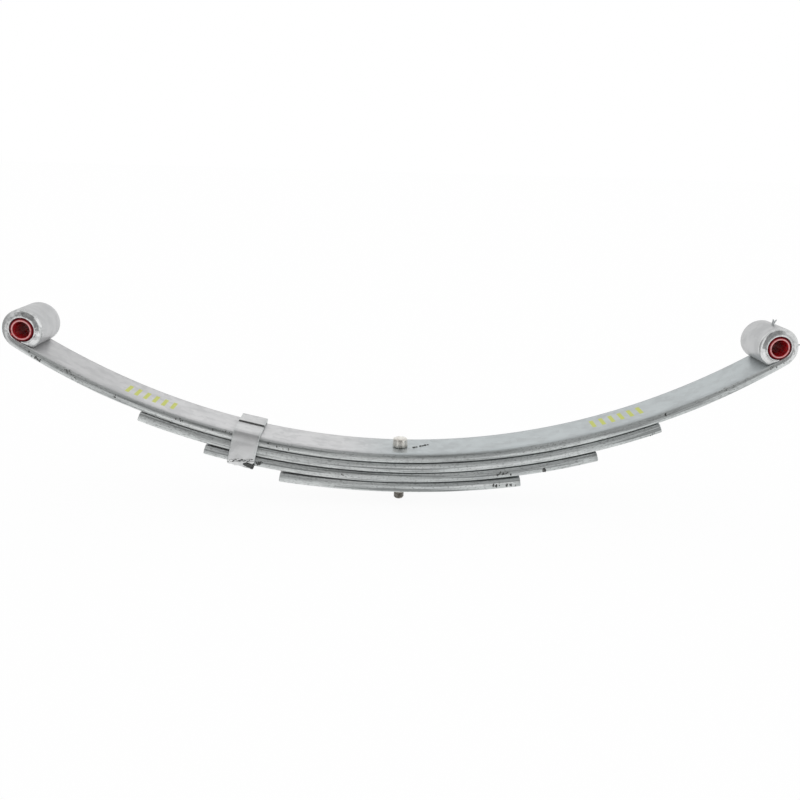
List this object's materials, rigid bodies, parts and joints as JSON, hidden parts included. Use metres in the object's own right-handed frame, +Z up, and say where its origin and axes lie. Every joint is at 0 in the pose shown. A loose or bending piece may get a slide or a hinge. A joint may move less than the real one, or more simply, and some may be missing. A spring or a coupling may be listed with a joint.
{
  "type": "leaf spring",
  "caption": "Arched trailer leaf spring with rolled eyes and red bushes, galvanised leaves stacked on a centre bolt, and a riveted rebound clip; its ends flex under load.",
  "frame": {"origin": "middle of the main leaf's upper face, on the axis of the centre bolt, with the spring unloaded", "axes": "+X along the spring to its right-hand eye, +Y across the leaves, +Z up into the arch, towards the eyes"},
  "size_m": [0.6752, 0.0514, 0.1684],
  "materials": {
    "leaf_zinc": "hot-dip galvanised, streaked satin",
    "clip_zinc": "hot-dip galvanised, spangled satin",
    "bolt_steel": "plated, slightly yellowed",
    "bush_plastic": "moulded red plastic"
  },
  "bodies": {
    "leaf_pack": {"main_leaf": "leaf_zinc", "second_leaf": "leaf_zinc", "third_leaf": "leaf_zinc", "fourth_leaf": "leaf_zinc", "center_bolt": "bolt_steel", "center_nut": "bolt_steel", "rebound_clip": "clip_zinc", "clip_rivet": "clip_zinc"},
    "left_end": {"left_bush": "bush_plastic"},
    "right_end": {"right_bush": "bush_plastic"}
  },
  "joints": [
    {"name": "left_flex", "type": "hinge", "parent": "leaf_pack", "child": "left_end", "pos_m": [-0.08096, 0, 0.00104], "axis": [0, -1, 0], "range_deg": [0, 16], "stiffness_Nm_per_rad": 3450, "deforming": ["main_leaf", "second_leaf", "third_leaf", "fourth_leaf"]},
    {"name": "right_flex", "type": "hinge", "parent": "leaf_pack", "child": "right_end", "pos_m": [0.08096, 0, 0.00104], "axis": [0, 1, 0], "range_deg": [0, 16], "stiffness_Nm_per_rad": 3450, "deforming": ["main_leaf", "second_leaf", "third_leaf", "fourth_leaf"]}
  ],
  "couplings": [
    {"joint": "right_flex", "follows": "left_flex", "ratio": 1}
  ]
}
